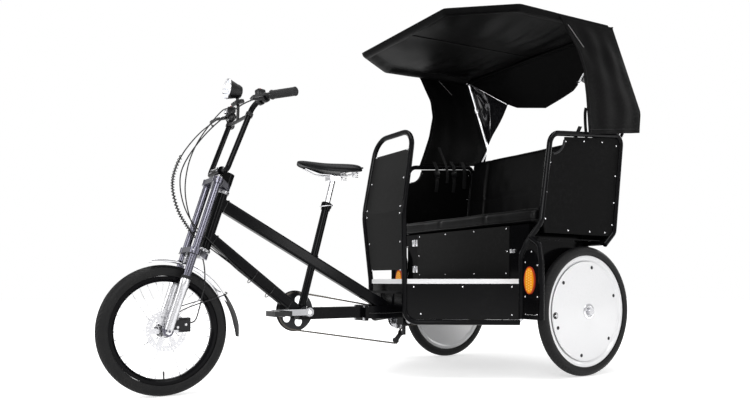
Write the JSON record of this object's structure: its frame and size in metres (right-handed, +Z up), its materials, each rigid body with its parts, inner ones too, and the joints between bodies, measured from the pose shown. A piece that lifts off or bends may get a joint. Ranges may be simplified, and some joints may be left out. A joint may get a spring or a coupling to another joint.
{
  "type": "cycle rickshaw",
  "caption": "Three-wheeled cycle rickshaw with a saddle and handlebar in front, a padded passenger bench behind, disc wheels and a cloth canopy.",
  "frame": {"origin": "on the floor, midway along the vehicle and between its sides", "axes": "+X to the rider's left, +Y to the back, +Z up"},
  "size_m": [1.1418, 2.4849, 1.6899],
  "materials": {
    "frame_black": "gloss black powder coat",
    "panel_grey": "matte dark grey sheet",
    "steel_dark": "black painted steel",
    "steel_bright": "bright steel",
    "alloy": "satin aluminium",
    "chain_steel": "oiled steel",
    "vinyl": "black vinyl",
    "canopy_cloth": "black coated cloth",
    "grip_rubber": "dark grey rubber",
    "white_plastic": "gloss white plastic",
    "amber_lens": "amber lens",
    "lamp_black": "black lamp body",
    "tyre_rubber": "black tyre",
    "cable_black": "black cable sheath",
    "floor_black": "ribbed black floor mat"
  },
  "bodies": {
    "chassis": {"main_frame": "frame_black", "rear_chassis": "frame_black", "rear_axle": "steel_bright", "drive_shaft": "steel_bright", "front_chain": "chain_steel", "rear_chain": "chain_steel", "chain_tensioner": "steel_dark", "saddle_post": "steel_bright", "saddle": "vinyl", "front_hoop": "frame_black", "front_panel": "panel_grey", "floor_board": "floor_black", "floor_trim": "white_plastic", "side_skirts": "frame_black", "seat_box": "frame_black", "seat_box_panel": "panel_grey", "seat_cushion": "vinyl", "backrest": "vinyl", "rear_panel": "panel_grey", "left_side_hoop": "frame_black", "right_side_hoop": "frame_black", "side_panels": "panel_grey", "fenders": "panel_grey", "marker_lights": "amber_lens", "canopy_frame": "steel_bright", "canopy_roof": "canopy_cloth", "left_curtain": "canopy_cloth", "right_curtain": "canopy_cloth", "rear_curtain": "canopy_cloth", "rear_brake_hose": "cable_black"},
    "fork": {"fork": "alloy", "stem": "steel_dark", "handlebar": "frame_black", "grips": "grip_rubber", "bar_controls": "lamp_black", "headlight": "lamp_black", "front_mudguard": "alloy", "brake_caliper": "steel_dark", "front_brake_hose": "cable_black", "control_cables": "cable_black"},
    "front_wheel": {"front_tyre": "tyre_rubber", "front_rim": "steel_dark", "front_hub": "alloy", "front_spokes": "steel_bright", "brake_disc": "steel_bright"},
    "left_wheel": {"left_tyre": "tyre_rubber", "left_wheel_rim": "white_plastic", "left_wheel_cover": "white_plastic"},
    "right_wheel": {"right_tyre": "tyre_rubber", "right_wheel_rim": "white_plastic", "right_wheel_cover": "white_plastic"},
    "crankset": {"crankset": "alloy", "chainring": "steel_dark"},
    "left_pedal": {"left_pedal": "lamp_black"},
    "right_pedal": {"right_pedal": "lamp_black"}
  },
  "joints": [
    {"name": "steering", "type": "hinge", "parent": "chassis", "child": "fork", "pos_m": [0, -0.8252, 0.5671], "axis": [0, 0.319, 0.9478], "range_deg": [-40, 40], "deforming": ["control_cables"]},
    {"name": "front_wheel_spin", "type": "hinge", "parent": "fork", "child": "front_wheel", "pos_m": [0, -0.9855, 0.257], "axis": [1, 0, 0], "continuous": true},
    {"name": "left_wheel_spin", "type": "hinge", "parent": "chassis", "child": "left_wheel", "pos_m": [0.5015, 0.8705, 0.3075], "axis": [1, 0, 0], "continuous": true},
    {"name": "right_wheel_spin", "type": "hinge", "parent": "chassis", "child": "right_wheel", "pos_m": [-0.5015, 0.8705, 0.3075], "axis": [1, 0, 0], "continuous": true},
    {"name": "crank_spin", "type": "hinge", "parent": "chassis", "child": "crankset", "pos_m": [0, -0.3835, 0.317], "axis": [1, 0, 0], "continuous": true},
    {"name": "left_pedal_spin", "type": "hinge", "parent": "crankset", "child": "left_pedal", "pos_m": [0.138, -0.5535, 0.317], "axis": [1, 0, 0], "continuous": true},
    {"name": "right_pedal_spin", "type": "hinge", "parent": "crankset", "child": "right_pedal", "pos_m": [-0.138, -0.2135, 0.317], "axis": [1, 0, 0], "continuous": true}
  ]
}
